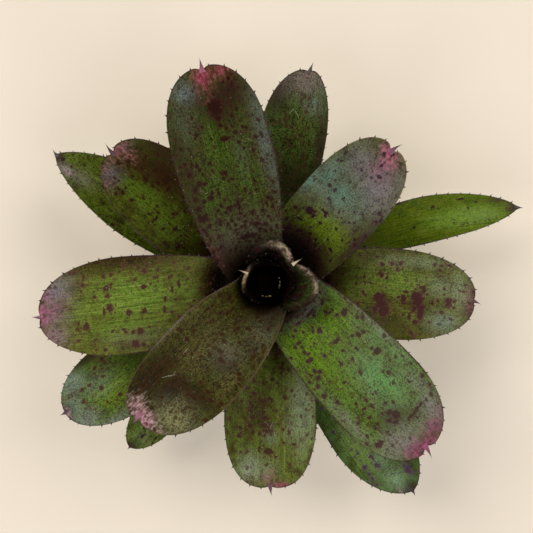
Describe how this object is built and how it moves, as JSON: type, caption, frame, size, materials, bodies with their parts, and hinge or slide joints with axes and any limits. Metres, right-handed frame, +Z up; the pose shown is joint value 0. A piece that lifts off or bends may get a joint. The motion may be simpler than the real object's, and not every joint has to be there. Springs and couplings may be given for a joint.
{
  "type": "bromeliad rosette",
  "caption": "Cup-forming bromeliad: a rosette of broad, channelled, toothed green leaves blotched with maroon, nested on a short cut stem and standing on its foot.",
  "frame": {"origin": "centre of the stem's flat cut foot, on the rosette's axis", "axes": "+Z up the rosette's axis, +X towards the right of the picture, +Y towards its top"},
  "size_m": [0.2799, 0.2533, 0.1144],
  "materials": {
    "stem_rind": "dry fibrous rind, matte",
    "heart_leaf_skin": "young leaf, satin, pale tips",
    "cup_leaf_skin": "rolled young leaf with cream lip, satin",
    "olive_leaf_skin": "olive leaf densely speckled maroon, satin",
    "spotted_leaf_skin": "green leaf with maroon blotches, satin",
    "plain_leaf_skin": "nearly plain green leaf, satin"
  },
  "bodies": {
    "root": {"stem": "stem_rind", "heart_leaf_1": "heart_leaf_skin", "heart_leaf_2": "heart_leaf_skin", "cup_leaf_1": "cup_leaf_skin", "cup_leaf_2": "cup_leaf_skin", "leaf_01": "olive_leaf_skin", "leaf_02": "spotted_leaf_skin", "leaf_03": "spotted_leaf_skin", "leaf_04": "spotted_leaf_skin", "leaf_05": "spotted_leaf_skin", "leaf_06": "spotted_leaf_skin", "leaf_07": "spotted_leaf_skin", "leaf_08": "spotted_leaf_skin", "leaf_09": "spotted_leaf_skin", "leaf_10": "spotted_leaf_skin", "leaf_11": "spotted_leaf_skin", "leaf_12": "spotted_leaf_skin", "leaf_13": "plain_leaf_skin", "leaf_14": "spotted_leaf_skin"}
  },
  "joints": []
}
